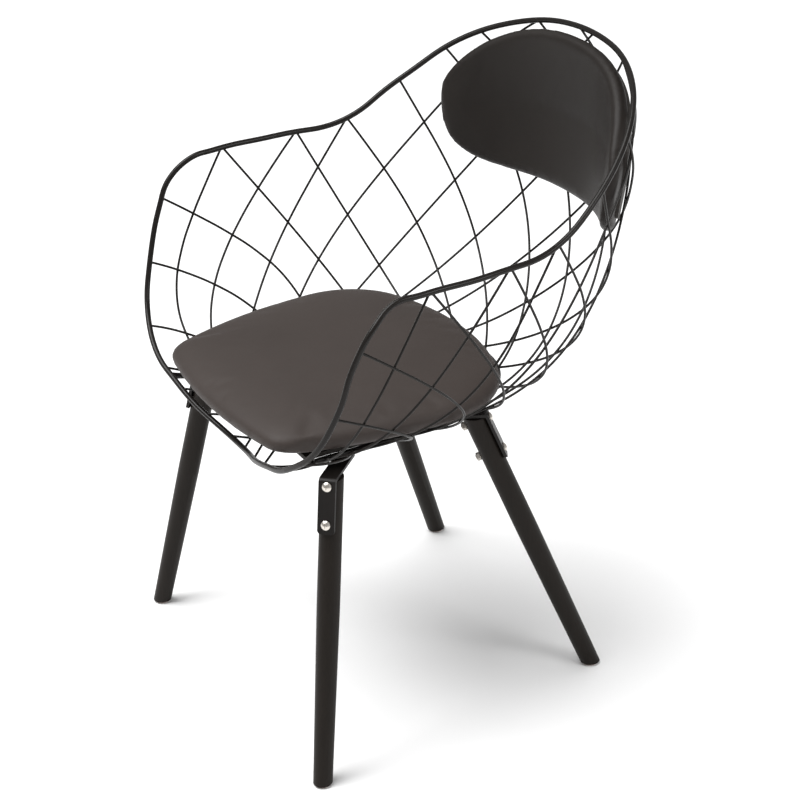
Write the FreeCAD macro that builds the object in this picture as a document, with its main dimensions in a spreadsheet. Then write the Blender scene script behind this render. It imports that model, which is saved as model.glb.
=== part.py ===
import FreeCAD, Part
import math
import os
from FreeCAD import Placement, Rotation, Vector

# Wire mesh armchair with wooden legs, in millimetres.
# The chair faces -Y, +Z is up, and the origin is on the floor under the middle of the chair's outline.
# The sitter's right-hand side is -X.

SIZES = [
    ("rim_radius", 3.75, "radius of the rod round the edge of the basket"),
    ("wire_radius", 1.6, "radius of the basket wires"),
    ("rail_radius", 4.0, "radius of the rail under the seat"),
    ("weld_sink", 0.05, "how far each wire sinks into the wire that it crosses"),
    ("back_top", 801.2, "height of the rim at the middle of the back"),
    ("arm_height", 642.8, "height of the rim along the arms"),
    ("front_height", 360.3, "height of the rim at the middle of the front"),
    ("half_width", 286.0, "half width of the basket at the arms"),
    ("axis_y", -89.3, "where the straight sides meet the rounded back"),
    ("back_reach", 385.0, "depth of the rounded back behind that line"),
    ("front_reach", 161.3, "depth of the rim's front middle before that line"),
    ("rail_height", 392.0, "height of the seat rail"),
    ("rail_front_rise", 9.0, "how far the rail rises to the rim at its front ends"),
    ("basket_drop", 31.0, "how far the basket's lowest level lies under the rail"),
    ("foot_front_x", 255.2, "front feet from the middle plane"),
    ("foot_front_y", -285.8, "front feet, along the depth"),
    ("foot_rear_x", 210.6, "rear feet from the middle plane"),
    ("foot_rear_y", 142.8, "rear feet, along the depth"),
    ("top_front_x", 179.4, "front leg tops from the middle plane"),
    ("top_front_y", -204.9, "front leg tops, along the depth"),
    ("top_rear_x", 139.1, "rear leg tops from the middle plane"),
    ("top_rear_y", 12.9, "rear leg tops, along the depth"),
    ("leg_radius", 14.5, "radius of the upper leg"),
    ("foot_radius", 12.3, "radius of the leg at the floor"),
    ("taper_height", 220.0, "height at which the leg starts to taper"),
    ("glide_radius", 9.5, "radius of the foot glide"),
    ("glide_height", 3.0, "thickness of the foot glide"),
    ("leg_top_gap", 1.5, "gap between the leg's top and the bracket's arm"),
    ("strap_width", 22.0, "width of the leg brackets"),
    ("strap_thickness", 4.0, "thickness of the leg brackets"),
    ("strap_length", 69.0, "length of the bracket down the leg"),
    ("strap_bend", 7.0, "outer bend radius of the bracket"),
    ("strap_corner", 5.0, "radius of the bracket's lower corners"),
    ("arm_front", 50.0, "reach of the front bracket's arm inward from the leg's axis"),
    ("arm_rear", 18.0, "reach of the rear bracket's arm inward from the leg's axis"),
    ("bolt_first", 9.2, "first bolt below the leg's top"),
    ("bolt_pitch", 48.0, "distance between the two bolts of a leg"),
    ("bolt_radius", 3.0, "radius of the leg bolts"),
    ("bolt_play", 0.2, "play of the leg bolts in their holes"),
    ("bolt_head_radius", 6.0, "radius of the bolt heads"),
    ("bolt_head_height", 3.4, "height of the bolt heads"),
    ("recess_depth", 1.5, "depth of the cross recess in a head"),
    ("nut_radius", 5.6, "radius over the corners of the nuts"),
    ("nut_height", 5.0, "height of the nuts"),
    ("board_inset", 1.5, "how far the seat board stays inside the rail's middle line"),
    ("board_thickness", 6.0, "thickness of the seat board"),
    ("board_front_y", -227.1, "front edge of the seat board"),
    ("board_rear_y", 50.9, "rear edge of the seat board in its middle"),
    ("seat_side_gap", 10.0, "gap between the seat cushion's sides and the basket's surface"),
    ("seat_front_y", -288.0, "front edge of the seat cushion"),
    ("seat_rear_y", 86.0, "rear edge of the seat cushion"),
    ("seat_thickness", 49.5, "thickness of the seat cushion in its middle"),
    ("cover_gap", 0.3, "gap between a cushion and its board"),
    ("clamp_length", 20.0, "length of a seat clamp along the rail"),
    ("clamp_width", 16.0, "width of a seat clamp across the rail"),
    ("screw_radius", 2.0, "radius of the wood screws"),
    ("screw_head_radius", 4.0, "radius of the wood screw heads"),
    ("screw_head_height", 2.4, "height of the wood screw heads"),
    ("back_pad_bottom", 586.0, "lower edge of the back cushion"),
    ("back_pad_thickness", 24.0, "thickness of the back cushion in its middle"),
    ("back_pad_rim_gap", 6.5, "gap between the back cushion's upper edge and the rim's middle line"),
    ("back_board_thickness", 4.0, "thickness of the board behind the back cushion"),
    ("back_board_inset", 16.0, "how far the back board stays inside the cushion's outline"),
    ("back_board_gap", 1.2, "gap between the back board and the wires behind it"),
    ("clip_gap", 0.3, "gap between those plates and the wires"),
    ("clip_half_length", 22.0, "half length of the plates that hold the back board"),
    ("clip_width", 14.0, "width of those plates"),
    ("clip_thickness", 2.0, "thickness of those plates"),
]

doc = FreeCAD.newDocument("wire_mesh_chair")
sheet = doc.addObject("Spreadsheet::Sheet", "Sizes")
for row, (alias, number, meaning) in enumerate(SIZES, 1):
    sheet.set("A%d" % row, meaning)
    sheet.set("B%d" % row, str(number))
    sheet.setAlias("B%d" % row, alias)
doc.recompute()


def size(alias):
    return float(getattr(sheet, alias))


rim_radius = size("rim_radius")
wire_radius = size("wire_radius")
rail_radius = size("rail_radius")
back_top = size("back_top")
arm_height = size("arm_height")
front_height = size("front_height")
half_width = size("half_width")
axis_y = size("axis_y")
rail_height = size("rail_height")
layer = wire_radius - size("weld_sink")

# The basket's surface
# Seen from above, each level is straight along the sides and a rounded curve round the back.
# The side and the back swell out from the lowest level, each by its own rule.

base_height = rail_height - size("basket_drop")
side_rise = arm_height - base_height
back_rise = 0.75 * (back_top - base_height)
SIDE_SWELL = (3.957, 1.621)
BACK_SWELL = (1.46, 3.05)
ROUNDNESS = 2.28
BACK_LEAN = 0.10
SIDE_FLARE = 0.18


def swell(height, rise, powers):
    share = min(max((height - base_height) / rise, 0.0), 1.0)
    return (1.0 - (1.0 - share) ** powers[0]) ** (1.0 / powers[1])


def side_reach(height):
    return half_width * swell(height, side_rise, SIDE_SWELL) + SIDE_FLARE * max(height - arm_height, 0.0)


def rear_reach(height):
    over = max(height - base_height - back_rise, 0.0)
    return size("back_reach") * swell(height, back_rise, BACK_SWELL) - BACK_LEAN * over


def basket_value(point):
    # under 1 inside the basket, 1 on its surface
    if point.z <= base_height + 0.5:
        return 9.0
    side = abs(point.x) / side_reach(point.z)
    rear = max(point.y - axis_y, 0.0) / rear_reach(point.z)
    return (side ** ROUNDNESS + rear ** ROUNDNESS) ** (1.0 / ROUNDNESS)


def basket_normal(point):
    step = 0.5
    gradient = Vector(0, 0, 0)
    for axis in (Vector(1, 0, 0), Vector(0, 1, 0), Vector(0, 0, 1)):
        change = basket_value(point + axis * step) - basket_value(point - axis * step)
        gradient = gradient + axis * change
    return gradient.normalize()


def reach_along(start, direction, limit):
    # distance from a point inside the basket to its surface
    low = 0.0
    high = limit
    for _ in range(40):
        middle = (low + high) / 2
        if basket_value(start + direction * middle) > 1.0:
            high = middle
        else:
            low = middle
    return low


def on_basket(bearing, height):
    # bearing 0 is the back, 90 is the side at +X, both seen from the point at axis_y
    turn = math.radians(bearing)
    direction = Vector(math.sin(turn), math.cos(turn), 0)
    start = Vector(0, axis_y, height)
    return start + direction * reach_along(start, direction, 3 * half_width)


# Smooth rods
# A rod's middle line is a row of arcs, two between each pair of its points.

def tangents_at(points, closed):
    count = len(points)
    result = []
    for i in range(count):
        if closed or 0 < i < count - 1:
            before = points[i] - points[i - 1]
            after = points[(i + 1) % count] - points[i]
            tangent = before * (after.Length / before.Length) + after * (before.Length / after.Length)
        elif i == 0:
            tangent = end_tangent(points[0], points[1], points[2])
        else:
            tangent = end_tangent(points[-1], points[-2], points[-3]) * -1.0
        result.append(tangent.normalize())
    return result


def end_tangent(first, second, third):
    near = second - first
    far = third - second
    inner = (near * (far.Length / near.Length) + far * (near.Length / far.Length)).normalize()
    chord = (second - first).normalize()
    return (chord * (2 * chord.dot(inner)) - inner).normalize()


def arc_edge(start, end, tangent):
    chord = end - start
    along = chord.dot(tangent)
    across = chord - tangent * along
    if across.Length < 1e-4 * chord.Length:
        return Part.LineSegment(start, end).toShape()
    side = across * (1.0 / across.Length)
    radius = chord.dot(chord) / (2 * chord.dot(side))
    center = start + side * radius
    toward = ((start + end) * 0.5 - center).normalize()
    return Part.Arc(start, center + toward * radius, end).toShape()


def arc_through(start, middle, end):
    first = middle - start
    if first.cross(end - start).Length < 1e-5 * first.Length * (end - start).Length:
        return Part.LineSegment(start, end).toShape()
    return Part.Arc(start, middle, end).toShape()


def smooth_edges(points, closed=False):
    tangents = tangents_at(points, closed)
    spans = len(points) if closed else len(points) - 1
    edges = []
    for i in range(spans):
        start = points[i]
        end = points[(i + 1) % len(points)]
        first = tangents[i]
        last = tangents[(i + 1) % len(points)]
        gap = end - start
        both = first + last
        spread = 2 * (1 - first.dot(last))
        pull = gap.dot(both)
        if spread < 1e-7:
            arm = gap.dot(gap) / (2 * pull)
        else:
            arm = (-pull + math.sqrt(pull * pull + spread * gap.dot(gap))) / spread
        joint = (start + first * arm + end - last * arm) * 0.5
        edges.append(arc_edge(start, joint, first))
        edges.append(arc_edge(joint, end, (end - last * arm - joint).normalize()))
    return edges


def rod(edges, radius):
    path = Part.Wire(edges)
    start = edges[0].valueAt(edges[0].FirstParameter)
    heading = edges[0].tangentAt(edges[0].FirstParameter)
    circle = Part.Wire([Part.Circle(start, heading, radius).toShape()])
    return path.makePipeShell([circle], True, False)


def mirrored(shape):
    return shape.mirror(Vector(0, 0, 0), Vector(1, 0, 0))


def flip(point):
    return Vector(-point.x, point.y, point.z)


subparts = []


def piece(name, shape):
    feature = doc.addObject("Part::Feature", name)
    feature.Shape = shape
    feature.Placement = Placement(Vector(0, 0, 0), Rotation())
    feature.Label = name
    subparts.append(feature)
    return feature


# Rim
# It runs from the middle of the back along the arm and down to the middle of the front.

back_drop = back_top - arm_height
front_drop = arm_height - front_height
RIM_BACK = [(17.4, 0.92), (34.5, 0.67), (47.4, 0.335), (60.9, 0.035), (79.4, 0.0), (97.0, 0.0)]
RIM_FRONT = [(0.993, -0.455, 0.989), (1.008, -0.657, 0.902), (0.989, -0.794, 0.763),
             (0.964, -0.922, 0.559), (0.884, -1.048, 0.369), (0.695, -1.145, 0.213),
             (0.440, -1.130, 0.114)]
front_reach = size("front_reach")
rim_half = [Vector(0, axis_y + rear_reach(back_top - 2 * rim_radius), back_top)]
for bearing, share in RIM_BACK:
    rim_half.append(on_basket(bearing, arm_height + share * back_drop))
for across, along, share in RIM_FRONT:
    place = Vector(across * half_width, axis_y + along * front_reach, front_height + share * front_drop)
    rim_half.append(place)
rim_half.append(Vector(0, axis_y - front_reach, front_height))
rim_loop = rim_half + [flip(point) for point in reversed(rim_half[1:-1])]
rim_edges = smooth_edges(rim_loop, closed=True)
half_count = len(rim_edges) // 2
rim_side = rod(rim_edges[:half_count], rim_radius)
rim_shape = rim_side.fuse(mirrored(rim_side)).removeSplitter()
piece("rim", rim_shape)
rim_line = Part.Wire(rim_edges[:half_count]).discretize(Number=1200)


def rim_point(share):
    # share 0 is the middle of the back, 1 is the middle of the front
    place = share * (len(rim_line) - 1)
    first = min(int(place), len(rim_line) - 2)
    return rim_line[first] + (rim_line[first + 1] - rim_line[first]) * (place - first)


# Seat rail
# A loop under the seat, open at the front, where both its ends rise a little and are welded to the rim.

rail_share = 0.6
while rim_point(rail_share).z > rail_height + size("rail_front_rise"):
    rail_share = rail_share + 0.0002
rail_end = rim_point(rail_share)
RAIL_BEARINGS = [0, 18, 36, 54, 72, 90]
rail_half = [on_basket(bearing, rail_height) for bearing in RAIL_BEARINGS]
rail_side = rail_half[-1]
for share in (0.40, 0.62, 0.82):
    level_point = rail_side + (rail_end - rail_side) * share
    rail_half.append(Vector(level_point.x, level_point.y, rail_height))
rail_half.append(rail_end)
rail_points = [flip(point) for point in reversed(rail_half[1:])] + rail_half
rail_edges = smooth_edges(rail_points)
rail_shape = rod(rail_edges, rail_radius).cut(rim_shape)
piece("seat_rail", rail_shape)
rail_line = Part.Wire(rail_edges[len(rail_edges) // 2:]).discretize(Number=600)


def rail_point(bearing):
    # the rail's middle line at a bearing from 0 at the back to the front end
    for point in rail_line:
        if math.degrees(math.atan2(point.x, point.y - axis_y)) >= abs(bearing):
            return point if bearing >= 0 else flip(point)
    return rail_line[-1] if bearing >= 0 else flip(rail_line[-1])


# Basket wires
# Each wire lies in one plane. It starts on the rim, passes one point of the basket and ends on the rail.
# Each line gives the start along the half rim, the bearing and height passed, and the bearing on the rail.
# All of them start on the right-hand half. A mirrored set crosses them in a second layer.

REARWARD = [
    (0.784, -122.5, 425, -116.5),
    (0.706, -101.8, 450, -95.5),
    (0.629, -91.3, 500, -78.9),
    (0.528, -75.9, 500, -51.6),
    (0.433, -59.7, 500, -31.5),
    (0.368, -43.1, 500, -15.8),
    (0.290, -28.0, 500, 3.7),
    (0.222, -9.7, 500, 19.0),
    (0.172, 7.4, 500, 40.0),
    (0.087, 25.0, 500, 62.0),
    (0.013, 43.0, 500, 80.0),
]
FORWARD = [
    (0.528, -111.7, 500, -129.8),
    (0.433, -98.2, 500, -126.3),
    (0.368, -80.8, 500, -117.4),
    (0.087, -63.7, 500, -97.3),
]


def wire_edges(start_share, bearing, height, rail_bearing, side):
    # side is +1 for the outer layer and -1 for the inner layer
    start = flip(rim_point(start_share))
    end = rail_point(rail_bearing)
    passed = on_basket(bearing, height)
    chord = end - start
    along = chord * (1.0 / chord.Length)
    outward = passed - start
    outward = (outward - along * outward.dot(along)).normalize()
    spans = max(5, int(chord.Length / 42))
    bulges = []
    for i in range(spans + 1):
        inside = start + chord * (i / spans) - outward * 40.0
        bulges.append(reach_along(inside, outward, half_width * 1.5) - 40.0)
    points = []
    for i in range(spans + 1):
        share = i / spans
        bulge = bulges[i] - bulges[0] * (1 - share) ** 7 - bulges[-1] * share ** 7
        point = start + chord * share + outward * bulge
        points.append(point + basket_normal(point) * (side * layer))
    return smooth_edges(points)


def coped(shape, *others):
    # the rod with its ends cut to the rods that it meets
    result = shape
    for other in others:
        result = result.cut(other)
    if result.Volume < 0.3 * shape.Volume:
        raise RuntimeError("a rod was lost in its cut")
    return result


def basket_wire(line, side):
    shape = rod(wire_edges(*line, side), wire_radius)
    return coped(shape, rim_shape, rail_shape)


# The lowest wire of each kind meets others at a slight angle, so it stands a little further off.
LOWEST_STANDS_OFF = 1.15
LOWEST_FORWARD_STANDS_OFF = 1.32
for number, line in enumerate(REARWARD, 1):
    stand = LOWEST_STANDS_OFF if number == 1 else 1.0
    piece("rearward_wire_right_%02d" % number, basket_wire(line, -stand))
    piece("rearward_wire_left_%02d" % number, mirrored(basket_wire(line, stand)))
for number, line in enumerate(FORWARD, 1):
    stand = LOWEST_FORWARD_STANDS_OFF if number == 1 else 1.0
    piece("forward_wire_right_%d" % number, basket_wire(line, stand))
    piece("forward_wire_left_%d" % number, mirrored(basket_wire(line, -stand)))

# Seat wires
# The long ones leave the front of the rim level and rise across under the seat to the rail on the other side.
# One that rises little runs straight.
# The short one runs from the rim's front corner to the rail on its own side.

SEAT_WIRES = [(0.888, 58.0), (0.936, 74.0), (0.984, 90.0)]
CORNER_WIRE = (0.848, -134.0)
SEAT_WIRE_BEND = 0.08


def seat_wire(start_share, rail_bearing, side):
    lift = Vector(0, 0, -side * layer)
    start = flip(rim_point(start_share)) + lift
    end = rail_point(rail_bearing) + lift
    level = Vector(end.x - start.x, end.y - start.y, 0).normalize()
    straight = (end - start).normalize()
    heading = level if end.z - start.z > SEAT_WIRE_BEND * (end - start).Length else straight
    return coped(rod([arc_edge(start, end, heading)], wire_radius), rim_shape, rail_shape)


seat_lines = SEAT_WIRES + [CORNER_WIRE]
right_seat_wires = [seat_wire(share, bearing, -1) for share, bearing in seat_lines]
left_seat_wires = [mirrored(seat_wire(share, bearing, 1)) for share, bearing in seat_lines]
piece("seat_wires_right", Part.makeCompound(right_seat_wires))
piece("seat_wires_left", Part.makeCompound(left_seat_wires))

# Legs
# Round and splayed, straight at the top and tapered to the foot, cut level at the floor and on top.

arm_low = rail_height - rail_radius - size("strap_thickness")
leg_top = arm_low - size("leg_top_gap")
bolt_radius = size("bolt_radius")
bolt_play = size("bolt_play")
strap_thickness = size("strap_thickness")
strap_width = size("strap_width")
leg_radius = size("leg_radius")
CORNERS = [("front", 1, "top_front_x", "top_front_y", "foot_front_x", "foot_front_y", "arm_front"),
           ("rear", 1, "top_rear_x", "top_rear_y", "foot_rear_x", "foot_rear_y", "arm_rear"),
           ("front", -1, "top_front_x", "top_front_y", "foot_front_x", "foot_front_y", "arm_front"),
           ("rear", -1, "top_rear_x", "top_rear_y", "foot_rear_x", "foot_rear_y", "arm_rear")]


def leg_frame(top_x, top_y, foot_x, foot_y, hand):
    # where the leg's axis meets the rail's level, its heading down and its outward direction square to that
    top = Vector(hand * size(top_x), size(top_y), rail_height)
    foot = Vector(hand * size(foot_x), size(foot_y), 0)
    down = (foot - top).normalize()
    plan = Vector(foot.x - top.x, foot.y - top.y, 0).normalize()
    outward = (plan - down * plan.dot(down)).normalize()
    return top, foot, down, outward, plan


def bound(type_name, name, bindings):
    item = doc.addObject(type_name, name)
    for prop, rule in bindings.items():
        item.setExpression(prop, rule)
    return item


def bolt_places(top, down):
    start = (rail_height - leg_top) / -down.z
    first = top + down * (start + size("bolt_first"))
    return [first, first + down * size("bolt_pitch")]


def bolt_head(seat, outward, across, down):
    # a domed head with a cross recess
    radius = size("bolt_head_radius")
    height = size("bolt_head_height")
    dome = 1.45 * radius

    def at(reach, rise):
        return seat + across * reach + outward * rise

    def dome_height(reach):
        return height - dome + math.sqrt(dome ** 2 - reach ** 2)

    rim_top = at(radius, dome_height(radius))
    crown = at(0, height)
    profile = [Part.LineSegment(seat, at(radius, 0)).toShape(),
               Part.LineSegment(at(radius, 0), rim_top).toShape(),
               Part.Arc(rim_top, at(radius / 2, dome_height(radius / 2)), crown).toShape(),
               Part.LineSegment(crown, seat).toShape()]
    head = Part.Face(Part.Wire(profile)).revolve(seat, outward, 360)
    arm = 0.5 * radius
    half = 0.15 * arm
    floor = outward * (height - size("recess_depth"))
    for along, beside in ((across, down), (down, across)):
        corners = [seat + floor + along * (arm * x) + beside * (half * y)
                   for x, y in ((-1, -1), (1, -1), (1, 1), (-1, 1), (-1, -1))]
        head = head.cut(Part.Face(Part.makePolygon(corners)).extrude(outward * height))
    return head


def edges_at(solid, place, distance):
    return [edge for edge in solid.Edges if abs((edge.CenterOfMass - place).Length - distance) < 0.01]


bolts = []
nuts = []
for label, hand, top_x, top_y, foot_x, foot_y, arm_name in CORNERS:
    side_name = "left" if hand > 0 else "right"
    tag = "%s_%s" % (label, side_name)
    top, foot, down, outward, plan = leg_frame(top_x, top_y, foot_x, foot_y, hand)
    up = down * -1.0
    lean = -down.z
    taper_start = size("taper_height") / lean
    taper_place = Placement(foot, Rotation(Vector(0, 0, 1), up))
    lower = bound("Part::Cone", "taper_" + tag, {
        "Radius1": "Sizes.foot_radius",
        "Radius2": "Sizes.leg_radius",
        "Height": "Sizes.taper_height / %.9f" % lean,
    })
    lower.Placement = taper_place
    toe = bound("Part::Cylinder", "toe_" + tag, {"Radius": "Sizes.foot_radius", "Height": "Sizes.leg_radius"})
    toe.Placement = Placement(foot - up * leg_radius, Rotation(Vector(0, 0, 1), up))
    upper = bound("Part::Cylinder", "post_" + tag, {
        "Radius": "Sizes.leg_radius",
        "Height": "Sizes.rail_height / %.9f - Sizes.taper_height / %.9f" % (lean, lean),
    })
    upper.Placement = Placement(foot + up * taper_start, Rotation(Vector(0, 0, 1), up))
    blank = doc.addObject("Part::MultiFuse", "blank_" + tag)
    blank.Shapes = [lower, toe, upper]
    blank.Refine = True
    slab = bound("Part::Box", "slab_" + tag, {
        "Length": "Sizes.half_width * 3",
        "Width": "Sizes.half_width * 3",
        "Height": "Sizes.rail_height - Sizes.rail_radius - Sizes.strap_thickness - Sizes.leg_top_gap"
                  " - Sizes.glide_height",
    })
    slab.Placement = Placement(Vector(-half_width * 1.5, -half_width * 1.5, size("glide_height")), Rotation())
    level = doc.addObject("Part::Common", "level_" + tag)
    level.Base = blank
    level.Tool = slab
    holes = doc.addObject("Part::MultiFuse", "holes_" + tag)
    drills = []
    for index, place in enumerate(bolt_places(top, down)):
        drill = bound("Part::Cylinder", "drill_%s_%d" % (tag, index + 1), {
            "Radius": "Sizes.bolt_radius + Sizes.bolt_play",
            "Height": "Sizes.leg_radius * 4",
        })
        drill.Placement = Placement(place - outward * (2 * leg_radius), Rotation(Vector(0, 0, 1), outward))
        drills.append(drill)
    holes.Shapes = drills
    leg = doc.addObject("Part::Cut", "leg_" + tag)
    leg.Base = level
    leg.Tool = holes
    leg.Label = "leg_" + tag
    subparts.append(leg)

    # glide under the foot, square to the floor
    glide = bound("Part::Cylinder", "glide_" + tag, {"Radius": "Sizes.glide_radius", "Height": "Sizes.glide_height"})
    glide_axis = foot + up * (size("glide_height") / lean)
    glide.Placement = Placement(Vector(glide_axis.x, glide_axis.y, 0), Rotation())
    glide.Label = "glide_" + tag
    subparts.append(glide)

    # bracket: a strap down the outside of the leg, bent inward over its top and welded under the rail
    across = plan.cross(Vector(0, 0, 1))
    inner = outward * leg_radius
    outer = outward * (leg_radius + strap_thickness)
    low_end = (rail_height - leg_top) / lean + size("strap_length")

    def at_height(offset, height):
        return top + offset + down * ((top.z + offset.z - height) / lean)

    arm_top = arm_low + strap_thickness
    corner_in = at_height(inner, arm_low)
    corner_out = at_height(outer, arm_top)
    arm_end = top - plan * size(arm_name)
    outline = [top + inner + down * low_end, corner_in, Vector(arm_end.x, arm_end.y, arm_low),
               Vector(arm_end.x, arm_end.y, arm_top), corner_out, top + outer + down * low_end]
    outline = [point - across * (strap_width / 2) for point in outline]
    profile = Part.Face(Part.makePolygon(outline + [outline[0]]))
    strap = profile.extrude(across * strap_width)
    strap = strap.makeFillet(size("strap_bend"), edges_at(strap, corner_out, 0.0))
    strap = strap.makeFillet(0.25 * size("strap_bend"), edges_at(strap, corner_in, 0.0))
    low_middle = top + (inner + outer) * 0.5 + down * low_end
    low_corners = [edge for edge in edges_at(strap, low_middle, strap_width / 2)
                   if abs((edge.CenterOfMass - low_middle).dot(down)) < 0.01]
    strap = strap.makeFillet(size("strap_corner"), low_corners)
    strap = strap.cut(rail_shape)
    for place in bolt_places(top, down):
        strap = strap.cut(Part.makeCylinder(bolt_radius + bolt_play, 4 * leg_radius, place, outward))
        head_seat = place + outer
        head = bolt_head(head_seat, outward, across, down)
        shank_length = 2 * leg_radius + strap_thickness + size("nut_height") + 1.0
        shank = Part.makeCylinder(bolt_radius, shank_length, head_seat, outward * -1.0)
        bolt = head.fuse(shank)
        if bolt.Volume < 1.1 * shank.Volume:
            raise RuntimeError("a bolt of %s has lost its head" % tag)
        bolts.append(bolt)
        nut_seat = place - inner
        corners = []
        for i in range(7):
            turn = math.radians(60 * i)
            corner = across * math.cos(turn) + down * math.sin(turn)
            corners.append(nut_seat + corner * size("nut_radius"))
        nut = Part.Face(Part.makePolygon(corners)).extrude(outward * -size("nut_height"))
        nuts.append(nut.cut(shank))
    piece("bracket_" + tag, strap)

piece("leg_bolts", Part.makeCompound(bolts))
piece("leg_nuts", Part.makeCompound(nuts))

# Seat board
# Plywood cut to the rail's loop, lying on the rail.

board_low = rail_height + rail_radius
inset = size("board_inset")
BOARD_BEARINGS = [58.0, 80.0, 104.0]
board_points = []
for bearing in BOARD_BEARINGS:
    point = rail_point(bearing)
    inward = (Vector(0, axis_y, rail_height) - point).normalize()
    spot = point + inward * inset
    board_points.append(Vector(spot.x, spot.y, board_low))
front_y = size("board_front_y")
for point in rail_line:
    if point.y <= front_y:
        break
board_corner = Vector(point.x - inset, front_y, board_low)
board_rear = Vector(0, size("board_rear_y"), board_low)
board_side = smooth_edges(board_points)
board_other = smooth_edges([flip(point) for point in reversed(board_points)])
rear_edge = Part.Arc(flip(board_points[0]), board_rear, board_points[0]).toShape()
side_left = Part.LineSegment(board_points[-1], board_corner).toShape()
front_edge = Part.LineSegment(board_corner, flip(board_corner)).toShape()
side_right = Part.LineSegment(flip(board_corner), flip(board_points[-1])).toShape()
board_outline = Part.Wire([rear_edge] + board_side + [side_left, front_edge, side_right] + board_other)
seat_board = Part.Face(board_outline).extrude(Vector(0, 0, size("board_thickness")))

# Seat clamps
# Blocks under the board that hold the rail, each with two screws up into the board.

clamp_length = size("clamp_length")
clamp_width = size("clamp_width")
screw_radius = size("screw_radius")
screw_reach = 0.7 * size("board_thickness")
clamps = []
seat_screws = []
CLAMP_BEARINGS = [69.0, 108.0, -69.0, -108.0]
for bearing in CLAMP_BEARINGS:
    point = rail_point(bearing)
    ahead = rail_point(bearing + (1.5 if bearing > 0 else -1.5))
    along = (ahead - point).normalize()
    inward = along.cross(Vector(0, 0, 1))
    if inward.dot(Vector(0, axis_y, rail_height) - point) < 0:
        inward = inward * -1.0
    low = point + inward * (rail_radius * 0.3) + Vector(0, 0, -rail_radius * 0.5)
    corner = low - along * (clamp_length / 2)
    shape = Part.Face(Part.makePolygon([corner, corner + along * clamp_length,
                                        corner + along * clamp_length + inward * clamp_width,
                                        corner + inward * clamp_width, corner]))
    shape = shape.extrude(Vector(0, 0, rail_radius * 1.5))
    shape = shape.cut(rail_shape)
    for end in (-0.25, 0.25):
        seat = low + along * (clamp_length * end) + inward * (clamp_width * 0.6)
        hole = Part.makeCylinder(screw_radius, rail_radius * 4, seat - Vector(0, 0, 1), Vector(0, 0, 1))
        shape = shape.cut(hole)
        bore_height = rail_radius * 1.5 + screw_reach
        seat_board = seat_board.cut(Part.makeCylinder(screw_radius, bore_height, seat))
        shank = Part.makeCylinder(screw_radius, bore_height, seat)
        head = Part.makeCylinder(size("screw_head_radius"), size("screw_head_height"), seat, Vector(0, 0, -1))
        seat_screws.append(shank.fuse(head).removeSplitter())
    clamps.append(max(shape.Solids, key=lambda solid: solid.Volume))
piece("seat_board", seat_board)
piece("seat_clamps", Part.makeCompound(clamps))
piece("seat_screws", Part.makeCompound(seat_screws))

# Seat cushion
# Its outline is drawn in below to follow the basket, and its top is crowned.

SEAT_WAIST = 0.50
SEAT_UNDERCUT = 0.21
SEAT_CROWN = 0.60
seat_front = size("seat_front_y")
seat_rear = size("seat_rear_y")
seat_depth = seat_rear - seat_front
cushion_middle = (seat_rear + seat_front) / 2
cushion_low = board_low + size("board_thickness") + size("cover_gap")
waist_height = cushion_low + SEAT_WAIST * size("seat_thickness")
seat_half = side_reach(waist_height) - layer - wire_radius - size("seat_side_gap")


def seat_outline(draw_in, height):
    scale = 1.0 - draw_in

    def at(across, back):
        y = seat_rear - back * seat_depth
        return Vector(across * seat_half * scale, cushion_middle + (y - cushion_middle) * scale, height)

    rear = Part.Arc(at(-0.68, 0.075), at(0, 0.0), at(0.68, 0.075)).toShape()
    rear_left = Part.Arc(at(0.68, 0.075), at(0.92, 0.19), at(1.0, 0.39)).toShape()
    side_left = Part.Arc(at(1.0, 0.39), at(0.965, 0.62), at(0.835, 0.865)).toShape()
    corner_left = Part.Arc(at(0.835, 0.865), at(0.785, 0.93), at(0.70, 0.963)).toShape()
    front = Part.Arc(at(0.70, 0.963), at(0, 1.0), at(-0.70, 0.963)).toShape()
    corner_right = Part.Arc(at(-0.70, 0.963), at(-0.785, 0.93), at(-0.835, 0.865)).toShape()
    side_right = Part.Arc(at(-0.835, 0.865), at(-0.965, 0.62), at(-1.0, 0.39)).toShape()
    rear_right = Part.Arc(at(-1.0, 0.39), at(-0.92, 0.19), at(-0.68, 0.075)).toShape()
    return Part.Wire([rear, rear_left, side_left, corner_left, front, corner_right, side_right, rear_right])


def seat_profile():
    # how far each level is drawn in, and its height as a share of the thickness
    profile = []
    for i in range(7):
        share = i / 7 * SEAT_WAIST
        profile.append((SEAT_UNDERCUT * (1 - i / 7) ** 1.65, share))
    profile.append((0.0, SEAT_WAIST))
    for drawn in (0.01, 0.03, 0.065, 0.12, 0.20, 0.32, 0.48, 0.70, 1.0):
        rise = (1 - (1 - drawn) ** 3) ** (1 / 2.6)
        profile.append((SEAT_CROWN * drawn, SEAT_WAIST + (1 - SEAT_WAIST) * rise))
    return profile


levels = [seat_outline(drawn, cushion_low + share * size("seat_thickness")) for drawn, share in seat_profile()]
piece("seat_cushion", Part.makeLoft(levels, True, True))

# Back cushion and its board
# Both follow the inside of the basket. Each section is taken at one bearing.

pad_low = size("back_pad_bottom")
pad_thickness = size("back_pad_thickness")
board_thickness_back = size("back_board_thickness")
wall = layer + wire_radius + size("back_board_gap")


def rim_height_at(bearing):
    for point in rim_line:
        if math.degrees(math.atan2(point.x, point.y - axis_y)) >= abs(bearing):
            return point.z
    return rim_line[-1].z


PAD_END = 37.5
PAD_CORNER_LOW = 74.0
PAD_CORNER_HIGH = 30.0


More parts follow.
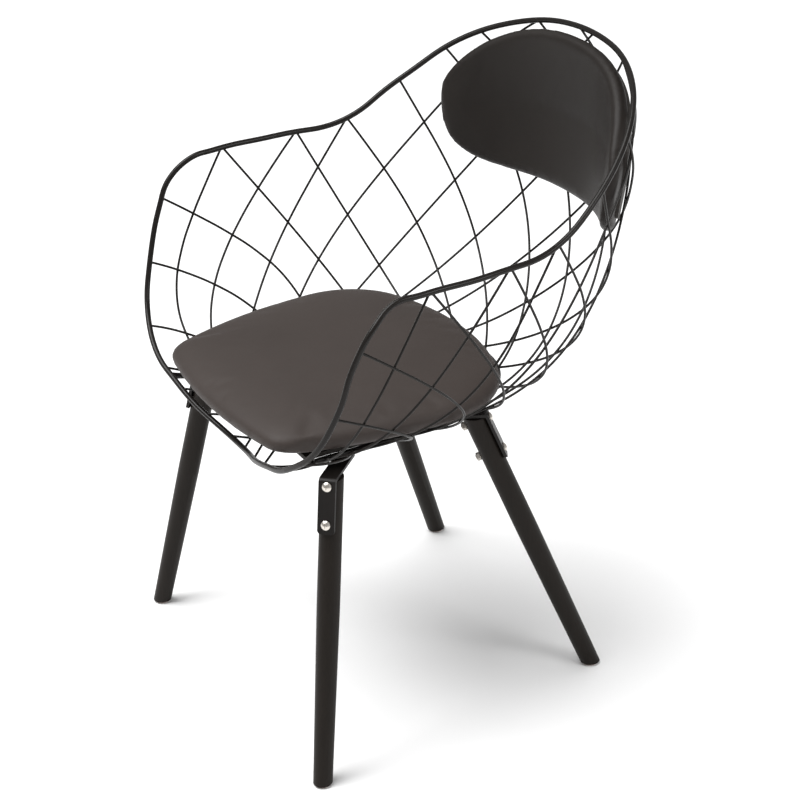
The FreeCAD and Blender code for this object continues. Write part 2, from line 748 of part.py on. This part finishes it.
def pad_span(bearing):
    # lower and upper edge of the back cushion at a bearing
    share = min(abs(bearing) / PAD_END, 1.0)
    low = pad_low + PAD_CORNER_LOW * (1 - (1 - share ** 5) ** 0.5)
    high = rim_height_at(bearing) - size("back_pad_rim_gap") - PAD_CORNER_HIGH * share ** 4
    return low, high


def basket_offset(bearing, height, depth):
    point = on_basket(bearing, height)
    turn = math.radians(bearing)
    return point - Vector(math.sin(turn), math.cos(turn), 0) * depth


def two_arcs(points):
    return [arc_through(*points[:3]), arc_through(*points[2:])]


def pad_section(bearing, near, thickness, low, high):
    # a long rounded shape: rear edge on the basket's offset, front edge crowned
    span = high - low
    nose = min(thickness * 0.42, span * 0.3)

    def at(height, depth):
        return basket_offset(bearing, height, near + depth)

    edge = thickness * 0.84
    quarter = (high - low - 2 * nose) / 4
    rear = two_arcs([at(low + nose + i * quarter, 0.0) for i in range(5)])
    top = Part.Arc(rear[1].valueAt(rear[1].LastParameter), at(high, edge / 2), at(high - nose, edge)).toShape()
    swell_by = [edge, edge + 0.75 * (thickness - edge), thickness, edge + 0.75 * (thickness - edge), edge]
    front = two_arcs([at(high - nose - i * quarter, swell_by[i]) for i in range(5)])
    bottom = Part.Arc(at(low + nose, edge), at(low, edge / 2), at(low + nose, 0.0)).toShape()
    return Part.Wire(rear + [top] + front + [bottom])


def board_section(bearing, near, thickness, low, high):
    quarter = (high - low) / 4

    def at(height, depth):
        return basket_offset(bearing, height, near + depth)

    rear = two_arcs([at(low + i * quarter, 0) for i in range(5)])
    top = Part.LineSegment(at(high, 0), at(high, thickness)).toShape()
    front = two_arcs([at(high - i * quarter, thickness) for i in range(5)])
    bottom = Part.LineSegment(at(low, thickness), at(low, 0)).toShape()
    return Part.Wire(rear + [top] + front + [bottom])


pad_near = wall + board_thickness_back + size("cover_gap")
PAD_STATIONS = [(1.0, 0.34), (0.985, 0.56), (0.94, 0.80), (0.84, 0.95), (0.62, 1.0), (0.31, 1.0)]
stations = [(-share, fullness) for share, fullness in PAD_STATIONS] + [(0.0, 1.0)]
stations = stations + [(share, fullness) for share, fullness in reversed(PAD_STATIONS)]
pad_sections = []
for share, fullness in stations:
    low, high = pad_span(share * PAD_END)
    shrink = (1 - fullness) * 16.0
    pad_sections.append(pad_section(share * PAD_END, pad_near, pad_thickness * fullness, low + shrink, high - shrink))
piece("back_cushion", Part.makeLoft(pad_sections, True, False))

board_inset_back = size("back_board_inset")
board_sections = []
for share in (-0.88, -0.66, -0.33, 0.0, 0.33, 0.66, 0.88):
    low, high = pad_span(share * PAD_END)
    board_sections.append(board_section(share * PAD_END, wall, board_thickness_back,
                                        low + board_inset_back, high - board_inset_back))
back_board = Part.makeLoft(board_sections, True, False)

# Back plates
# Each one bridges a crossing of two wires from behind and is screwed into the back board.


def wire_line(line, side):
    return Part.Wire(wire_edges(*line, side)).discretize(Number=300)


def bearing_at(points, height):
    for first, second in zip(points, points[1:]):
        if first.z >= height >= second.z:
            share = (first.z - height) / (first.z - second.z)
            point = first + (second - first) * share
            return math.degrees(math.atan2(point.x, point.y - axis_y))
    return None


def crossing(inner_line, outer_line, low, high):
    # bearing and height where an inner wire from the right meets an outer one from the left
    inner = wire_line(inner_line, -1)
    outer = [flip(point) for point in wire_line(outer_line, 1)]
    for _ in range(30):
        height = (low + high) / 2
        if bearing_at(inner, height) > bearing_at(outer, height):
            low = height
        else:
            high = height
    return bearing_at(inner, low), low


clip_half = size("clip_half_length")
clip_width = size("clip_width")
clip_thickness = size("clip_thickness")
lower_crossing = crossing(REARWARD[8], REARWARD[9], base_height + 60, rim_point(0.22).z)
upper_crossing = crossing(REARWARD[9], REARWARD[10], base_height + 60, rim_point(0.09).z)
plates = []
back_screws = []
for bearing, height in (lower_crossing, upper_crossing):
    print("plate at bearing %.1f, height %.1f" % (bearing, height))
    for turn in (bearing, -bearing):
        surface = on_basket(turn, height)
        outward = basket_normal(surface)
        level = outward.cross(Vector(0, 0, 1)).normalize()
        upright = level.cross(outward)
        seat = surface + outward * (layer + wire_radius + size("clip_gap"))
        corner = seat - level * clip_half - upright * (clip_width / 2)
        face = Part.Face(Part.makePolygon([corner, corner + level * (2 * clip_half),
                                           corner + level * (2 * clip_half) + upright * clip_width,
                                           corner + upright * clip_width, corner]))
        plate = face.extrude(outward * clip_thickness)
        edges = [edge for edge in plate.Edges if abs(edge.Length - clip_thickness) < 1e-6]
        plate = plate.makeFillet(0.4 * clip_width, edges)
        for end in (-0.68, 0.68):
            start = seat + level * (clip_half * end) + outward * clip_thickness
            length = clip_thickness + 2 * wire_radius + 2 * layer + wall - layer + 0.4 * board_thickness_back
            plate = plate.cut(Part.makeCylinder(screw_radius, 4 * clip_thickness, start + outward, outward * -1.0))
            shank = Part.makeCylinder(screw_radius, length, start, outward * -1.0)
            back_board = back_board.cut(shank)
            head = Part.makeCylinder(size("screw_head_radius"), size("screw_head_height"), start, outward)
            back_screws.append(shank.fuse(head).removeSplitter())
        plates.append(plate)
piece("back_board", back_board)
piece("back_plates", Part.makeCompound(plates))
piece("back_screws", Part.makeCompound(back_screws))

# Files
doc.recompute()
for item in doc.Objects:
    for state in item.State:
        if state in ("Invalid", "Error"):
            raise RuntimeError("%s is %s" % (item.Name, state))
for item in subparts:
    if item.Shape.isNull() or not item.Shape.isValid():
        raise RuntimeError("%s has a bad shape" % item.Label)
os.makedirs("parts", exist_ok=True)
for item in subparts:
    item.Shape.exportStep("parts/%s.step" % item.Label)
    box = item.Shape.BoundBox
    print("%-26s %2d solids %10.0f mm3  x %.1f..%.1f y %.1f..%.1f z %.1f..%.1f" % (
        item.Label, len(item.Shape.Solids), item.Shape.Volume,
        box.XMin, box.XMax, box.YMin, box.YMax, box.ZMin, box.ZMax))
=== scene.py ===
# %% [markdown]
# # A wire mesh armchair
# The chair is a basket of thin black wire inside a thicker rim, with two dark padded cushions and
# four black-stained wooden legs. The metal, the wood and the boards come finished in shape from the
# CAD model, so here they only get their paint, stain and plating. The two cushions are soft, so they
# are made again in this file.

# %% Load the fixed frame
import math
import bpy
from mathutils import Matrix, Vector


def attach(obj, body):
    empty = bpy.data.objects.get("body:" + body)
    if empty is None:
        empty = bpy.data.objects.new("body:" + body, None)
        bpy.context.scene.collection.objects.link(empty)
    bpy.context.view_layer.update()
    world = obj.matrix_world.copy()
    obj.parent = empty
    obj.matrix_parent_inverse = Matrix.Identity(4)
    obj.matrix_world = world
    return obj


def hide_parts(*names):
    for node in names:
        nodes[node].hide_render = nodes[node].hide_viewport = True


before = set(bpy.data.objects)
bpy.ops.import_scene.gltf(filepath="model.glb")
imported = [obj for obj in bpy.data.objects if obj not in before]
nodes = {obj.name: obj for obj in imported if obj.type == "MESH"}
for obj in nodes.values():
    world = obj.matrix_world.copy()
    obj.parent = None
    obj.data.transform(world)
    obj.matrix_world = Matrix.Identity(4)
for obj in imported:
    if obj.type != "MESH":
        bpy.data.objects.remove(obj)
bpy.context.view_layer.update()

# %% [markdown]
# ## Writing shader maths as sums
# A material is a graph of nodes. Wiring a graph by hand hides the idea behind it, so a small class
# wraps an output socket. Plus and times on it add the Math nodes, with a number on either side, and
# one method adds any other node with its settings first and its inputs after.

# %% A wrapper for sockets
class Signal:
    def __init__(self, tree, socket):
        self.tree = tree
        self.socket = socket

    def node(self, kind, settings=None, **inputs):
        return add_node(self.tree, kind, settings, **inputs)

    def math(self, operation, other):
        inputs = {"0": self, "1": other}
        return add_node(self.tree, "ShaderNodeMath", {"operation": operation}, **inputs)["Value"]

    def __add__(self, other):
        return self.math("ADD", other)

    __radd__ = __add__

    def __mul__(self, other):
        return self.math("MULTIPLY", other)

    __rmul__ = __mul__


def add_node(tree, kind, settings=None, **inputs):
    node = tree.nodes.new(kind)
    for name, value in (settings or {}).items():
        if name == "stops":
            ramp = node.color_ramp
            for element, (place, color) in zip(ramp.elements, value):
                element.position = place
                element.color = color
        else:
            setattr(node, name, value)
    for name, value in inputs.items():
        key = int(name) if name.isdigit() else name.replace("_", " ")
        if isinstance(value, Signal):
            tree.links.new(value.socket, node.inputs[key])
        else:
            node.inputs[key].default_value = value
    return {output.name: Signal(tree, output) for output in node.outputs}


# %% [markdown]
# A finish is one Principled shader. What is the same all over, such as how strongly the surface
# reflects, is written on the shader itself. What changes from place to place comes in as a signal.

# %% Start a finish
def new_finish(name, **constants):
    material = bpy.data.materials.new(name)
    material.use_nodes = True
    tree = material.node_tree
    shader = tree.nodes["Principled BSDF"]
    for key, value in constants.items():
        shader.inputs[key.replace("_", " ")].default_value = value
    place = add_node(tree, "ShaderNodeTexCoord")["Object"]
    return material, tree, shader, place


def feed(tree, shader, **signals):
    for key, value in signals.items():
        tree.links.new(value.socket, shader.inputs[key.replace("_", " ")])


def noise(place, scale, detail=3.0, roughness=0.5):
    outputs = place.node("ShaderNodeTexNoise", Vector=place, Scale=scale, Detail=detail,
                         Roughness=roughness)
    return outputs["Fac"]


def stretched(place, scale, turn=(0.0, 0.0, 0.0)):
    outputs = place.node("ShaderNodeMapping", {"vector_type": "POINT"}, Vector=place,
                         Rotation=turn, Scale=scale)
    return outputs["Vector"]


def bump(height, strength, distance):
    outputs = height.node("ShaderNodeBump", Height=height, Strength=strength, Distance=distance)
    return outputs["Normal"]


def blend_colors(mask, dark, light):
    stops = [(0.0, (*dark, 1.0)), (1.0, (*light, 1.0))]
    return mask.node("ShaderNodeValToRGB", {"stops": stops}, Fac=mask)["Color"]


# %% [markdown]
# ## Black paint on steel
# The rim, the wires and the brackets are dipped or sprayed in black. The film is smooth and half
# glossy, so long thin lights run along each rod. A real film has a faint orange-peel skin and is a
# little duller in patches, so one noise changes its height and another its roughness and tone.

# %% Paint for rim, wires and brackets
DARKER_PATCH = 0.75
LIGHTER_PATCH = 1.25


def painted_steel(name, tone, smooth, rough, peel):
    material, tree, shader, place = new_finish(name, Metallic=0.0, Specular_IOR_Level=0.20)
    rubbed = noise(place, scale=28.0, detail=4.0)
    skin = noise(place, scale=900.0, detail=2.0)
    dark = tuple(DARKER_PATCH * value for value in tone)
    light = tuple(LIGHTER_PATCH * value for value in tone)
    feed(tree, shader,
         Base_Color=blend_colors(rubbed, dark, light),
         Roughness=smooth + rubbed * (rough - smooth),
         Normal=bump(skin, strength=peel, distance=0.0002))
    return material


rim_paint = painted_steel("rim_paint", tone=(0.0105, 0.0088, 0.0078),
                          smooth=0.20, rough=0.34, peel=0.12)
wire_paint = painted_steel("wire_paint", tone=(0.0095, 0.0080, 0.0070),
                           smooth=0.24, rough=0.38, peel=0.10)
bracket_paint = painted_steel("bracket_paint", tone=(0.0095, 0.0080, 0.0072),
                              smooth=0.30, rough=0.46, peel=0.18)
print("paints made")

# %% [markdown]
# ## Black-stained wood
# The legs are turned from a pale hardwood and stained black, under a thin satin lacquer. The stain
# hides the colour of the grain but not its relief. Two noises give fine pores and coarser growth
# rings. Both are drawn out upright by squeezing their height, and then turned by the leg's lean.

# %% Stain for the legs
FRONT_PITCH = 11.4
FRONT_ROLL = 10.7
REAR_PITCH = -18.0
REAR_ROLL = 10.1
UPRIGHT_SQUEEZE = 0.045


def stained_wood(name, lean):
    material, tree, shader, place = new_finish(name, Specular_IOR_Level=0.13)
    upright = stretched(place, scale=(1.0, 1.0, UPRIGHT_SQUEEZE), turn=lean)
    pores = noise(upright, scale=620.0, detail=5.0, roughness=0.6)
    rings = noise(upright, scale=90.0, detail=3.0, roughness=0.55)
    cloud = noise(place, scale=14.0, detail=2.0)
    grain = pores * 0.6 + rings * 0.4
    feed(tree, shader,
         Base_Color=blend_colors(grain, (0.0060, 0.0046, 0.0036), (0.0200, 0.0158, 0.0128)),
         Roughness=0.34 + grain * 0.16 + cloud * 0.06,
         Normal=bump(grain, strength=0.35, distance=0.0004))
    return material


def lean_of(pitch, roll):
    return (math.radians(pitch), math.radians(roll), 0.0)


LEG_LEANS = {
    "leg_front_left": lean_of(FRONT_PITCH, FRONT_ROLL),
    "leg_front_right": lean_of(FRONT_PITCH, -FRONT_ROLL),
    "leg_rear_left": lean_of(REAR_PITCH, REAR_ROLL),
    "leg_rear_right": lean_of(REAR_PITCH, -REAR_ROLL),
}
leg_stains = {name: stained_wood("stain_" + name, lean) for name, lean in LEG_LEANS.items()}
print("stains", len(leg_stains))

# %% [markdown]
# ## Plywood, glides and plated fasteners
# The boards are thin plywood, stained dark, with fine level streaks. The glides are plain pale
# plastic, marked a little by the floor. The bolts are nickel plated: warm, bright, and finely
# brushed.

# %% Plywood
PLY_STRETCH = (0.3, 1.0, 8.0)

plywood, tree, shader, place = new_finish("stained_plywood", Specular_IOR_Level=0.3)
layers = noise(stretched(place, scale=PLY_STRETCH), scale=60.0, detail=4.0)
feed(tree, shader,
     Base_Color=blend_colors(layers, (0.010, 0.009, 0.008), (0.045, 0.038, 0.032)),
     Roughness=0.55 + layers * 0.2,
     Normal=bump(layers, strength=0.3, distance=0.0003))

# %% Glides
glide_plastic, tree, shader, place = new_finish("glide_plastic", Specular_IOR_Level=0.4)
scuffs = noise(place, scale=350.0, detail=4.0)
feed(tree, shader,
     Base_Color=blend_colors(scuffs, (0.42, 0.34, 0.30), (0.62, 0.52, 0.47)),
     Roughness=0.45 + scuffs * 0.2,
     Normal=bump(scuffs, strength=0.15, distance=0.0002))

# %% Nickel plate
nickel, tree, shader, place = new_finish("nickel_plate", Metallic=1.0)
brushing = noise(place, scale=1400.0, detail=3.0)
feed(tree, shader,
     Base_Color=blend_colors(brushing, (0.56, 0.52, 0.47), (0.80, 0.76, 0.70)),
     Roughness=0.22 + brushing * 0.16,
     Normal=bump(brushing, strength=0.08, distance=0.0001))
print("small finishes made")

# %% [markdown]
# ## Coated leather
# Both cushions are covered in a very dark brown coated leather. Close up it has a pebble grain:
# small cells with finer creases between them. A Voronoi pattern gives the cells, and two noises lay
# the creases and a slight wave over them. A slow noise makes the cover a little duller in some
# places than in others. The seat gets a lighter copy of this leather as painted light, and the back
# a darker copy as painted shade.

# %% The cover
BLACK = (0.0, 0.0, 0.0)
WHITE = (1.0, 1.0, 1.0)
CELL_SHARPNESS = 2.2
CELL_EDGE = 0.28


def coated_leather(name, dark, light, gloss):
    material, tree, shader, place = new_finish(name, Specular_IOR_Level=0.24)
    wave = noise(place, scale=160.0, detail=2.0)
    cells = place.node("ShaderNodeTexVoronoi", {"feature": "DISTANCE_TO_EDGE"}, Vector=place,
                       Scale=820.0)["Distance"]
    stops = [(0.0, (*BLACK, 1.0)), (CELL_EDGE, (*WHITE, 1.0))]
    pebble = place.node("ShaderNodeValToRGB", {"stops": stops}, Fac=cells * CELL_SHARPNESS)["Color"]
    creases = noise(place, scale=300.0, detail=5.0, roughness=0.65)
    cloud = noise(place, scale=9.0, detail=3.0)
    relief = pebble * 0.55 + creases * 0.35 + wave * 0.2
    feed(tree, shader,
         Base_Color=blend_colors(cloud * 0.6 + creases * 0.4, dark, light),
         Roughness=gloss + creases * 0.10 + cloud * 0.08,
         Normal=bump(relief, strength=0.22, distance=0.00025))
    return material


# One leather in two tones: the seat copy is painted lighter as painted light on its upward face, and
# the back copy is painted darker as painted shade.
seat_cover = coated_leather("seat_cover", dark=(0.030, 0.0232, 0.0205),
                            light=(0.050, 0.0395, 0.0350), gloss=0.46)
back_cover = coated_leather("back_cover", dark=(0.0075, 0.0055, 0.0043),
                            light=(0.0140, 0.0105, 0.0085), gloss=0.38)
print("covers made")

# %% [markdown]
# ## Give each CAD piece its finish
# The names say what each piece is, so a few tests on the name are enough.

# %% Assign the finishes
SMOOTH_ANGLE = math.radians(35)
CUSHIONS = ("seat_cushion", "back_cushion")
FASTENERS = ("leg_bolts", "leg_nuts", "seat_screws", "back_screws")
BOARDS = ("seat_board", "back_board")


def finish_for(name):
    if name == "rim":
        return rim_paint
    if "_wire" in name:
        return wire_paint
    if name in leg_stains:
        return leg_stains[name]
    if name.startswith("glide"):
        return glide_plastic
    if name in FASTENERS:
        return nickel
    if name in BOARDS:
        return plywood
    return bracket_paint


def select_only(piece):
    bpy.ops.object.select_all(action="DESELECT")
    bpy.context.view_layer.objects.active = piece
    piece.select_set(True)


def dress(piece, material):
    piece.data.materials.clear()
    piece.data.materials.append(material)
    select_only(piece)


for name, node in nodes.items():
    if name not in CUSHIONS:
        dress(node, finish_for(name))
        bpy.ops.object.shade_smooth_by_angle(angle=SMOOTH_ANGLE)

# %% [markdown]
# ## Cushions
# A cushion is foam on a board with a cover pulled over it. Its outline is settled by the CAD solid,
# but a lofted solid has hard joins that foam doesn't have. So the solid is copied, rebuilt as an
# even skin, smoothed, and then filled like a balloon by a short cloth simulation. The simulation
# rounds the edges and tightens the cover over the foam. How far a point may move is capped, so that
# the cushion stays close to its solid.

# %% Copy a solid as an even skin
MERGE_DISTANCE = 0.00002


def even_skin(node, name, voxel, smoothing):
    piece = bpy.data.objects.new(name, node.data.copy())
    bpy.context.scene.collection.objects.link(piece)
    select_only(piece)
    bpy.ops.object.mode_set(mode="EDIT")
    bpy.ops.mesh.select_all(action="SELECT")
    bpy.ops.mesh.remove_doubles(threshold=MERGE_DISTANCE)
    bpy.ops.mesh.normals_make_consistent(inside=False)
    bpy.ops.object.mode_set(mode="OBJECT")
    remesh = piece.modifiers.new("even", "REMESH")
    remesh.mode = "VOXEL"
    remesh.voxel_size = voxel
    bpy.ops.object.modifier_apply(modifier=remesh.name)
    smooth = piece.modifiers.new("relax", "SMOOTH")
    smooth.factor = 0.5
    smooth.iterations = smoothing
    bpy.ops.object.modifier_apply(modifier=smooth.name)
    print(name, "skin points", len(piece.data.vertices))
    return piece


# %% Fill a skin with a short cloth simulation
FIRST_FRAME = 1
LAST_FRAME = 12


def fill_with_foam(piece, pressure, cap):
    before = [vertex.co.copy() for vertex in piece.data.vertices]
    cloth = piece.modifiers.new("cover", "CLOTH")
    cloth.settings.quality = 6
    cloth.settings.mass = 0.4
    cloth.settings.tension_stiffness = 25
    cloth.settings.compression_stiffness = 25
    cloth.settings.shear_stiffness = 15
    cloth.settings.bending_stiffness = 15
    cloth.settings.use_pressure = True
    cloth.settings.uniform_pressure_force = pressure
    cloth.settings.effector_weights.gravity = 0.0
    cloth.point_cache.frame_start = FIRST_FRAME
    cloth.point_cache.frame_end = LAST_FRAME
    for step in range(FIRST_FRAME, LAST_FRAME + 1):
        bpy.context.scene.frame_set(step)
    shaped = piece.evaluated_get(bpy.context.evaluated_depsgraph_get())
    after = [vertex.co.copy() for vertex in shaped.data.vertices]
    piece.modifiers.remove(cloth)
    bpy.context.scene.frame_set(FIRST_FRAME)
    farthest = 0.0
    for vertex, start, end in zip(piece.data.vertices, before, after):
        move = end - start
        if move.length > cap:
            move = move * (cap / move.length)
        farthest = max(farthest, move.length)
        vertex.co = start + move
    print(piece.name, "largest move mm", round(farthest * 1000, 2))


def finish_cushion(piece, cover, node_name):
    dress(piece, cover)
    bpy.ops.object.shade_smooth()
    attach(piece, "root")
    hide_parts(node_name)


# %% Seat cushion
seat_piece = even_skin(nodes["seat_cushion"], "padded_seat", voxel=0.005, smoothing=4)
fill_with_foam(seat_piece, pressure=2.2, cap=0.005)
finish_cushion(seat_piece, seat_cover, "seat_cushion")

# %% Back cushion
back_piece = even_skin(nodes["back_cushion"], "padded_back", voxel=0.004, smoothing=4)
fill_with_foam(back_piece, pressure=1.0, cap=0.0018)
finish_cushion(back_piece, back_cover, "back_cushion")

# %% [markdown]
# ## Studio
# The chair stands on a plain white floor in front of a background that the camera sees as white. The
# sky itself is dim, so that it adds little grey to the black paint. Wide daylight from above
# brightens the floor and lays a soft shadow on it, and two soft lamps light the chair from the front
# and from its left side.

# %% Floor and sky
FLOOR_SIZE = 14.0
FLOOR_TONE = (0.90, 0.90, 0.90, 1.0)
SKY_LIGHT = 0.36

bpy.ops.mesh.primitive_plane_add(size=FLOOR_SIZE, location=(0.0, 0.0, 0.0))
floor = bpy.context.active_object
floor.name = "studio_floor"
floor_paint = bpy.data.materials.new("floor_paint")
floor_paint.use_nodes = True
matte = floor_paint.node_tree.nodes["Principled BSDF"]
matte.inputs["Base Color"].default_value = FLOOR_TONE
matte.inputs["Roughness"].default_value = 0.9
floor.data.materials.append(floor_paint)

world = bpy.data.worlds.new("studio_sky")
bpy.context.scene.world = world
world.use_nodes = True
tree = world.node_tree
sky = tree.nodes["Background"]
sky.inputs["Color"].default_value = (*WHITE, 1.0)
seen = add_node(tree, "ShaderNodeLightPath")["Is Camera Ray"]
tree.links.new((seen * (1.0 - SKY_LIGHT) + SKY_LIGHT).socket, sky.inputs["Strength"])

# %% Lamps
LAMP_TARGET = Vector((0.0, 0.0, 0.5))
SUN_STRENGTH = 2.9
SUN_SPREAD = math.radians(50)
SUN_TURN = (math.radians(18), math.radians(-12), 0.0)


def hang_light(light, place, turn):
    holder = bpy.data.objects.new(light.name, light)
    holder.location = place
    holder.rotation_euler = turn
    bpy.context.scene.collection.objects.link(holder)


def soft_lamp(name, place, size, power):
    lamp = bpy.data.lights.new(name, "AREA")
    lamp.shape = "DISK"
    lamp.size = size
    lamp.energy = power
    hang_light(lamp, place, (LAMP_TARGET - Vector(place)).to_track_quat("-Z", "Y").to_euler())


soft_lamp("main_lamp", place=(-0.6, -2.2, 3.0), size=1.8, power=45.0)
soft_lamp("side_lamp", place=(2.6, 1.2, 2.2), size=1.4, power=30.0)

sun = bpy.data.lights.new("daylight", "SUN")
sun.energy = SUN_STRENGTH
sun.angle = SUN_SPREAD
hang_light(sun, (0.0, 0.0, 0.0), SUN_TURN)

# %% Camera
LENS_MM = 98.1
SENSOR_MM = 36.0
CAMERA_PLACE = (2.2779, -1.1893, 1.6705)
CAMERA_TURN_DEGREES = (62.763, 2.881, 61.250)

camera_data = bpy.data.cameras.new("camera")
camera_data.lens = LENS_MM
camera_data.sensor_width = SENSOR_MM
camera = bpy.data.objects.new("camera", camera_data)
camera.location = CAMERA_PLACE
camera.rotation_euler = [math.radians(angle) for angle in CAMERA_TURN_DEGREES]
bpy.context.scene.collection.objects.link(camera)
bpy.context.scene.camera = camera
bpy.context.scene.view_settings.view_transform = "Standard"
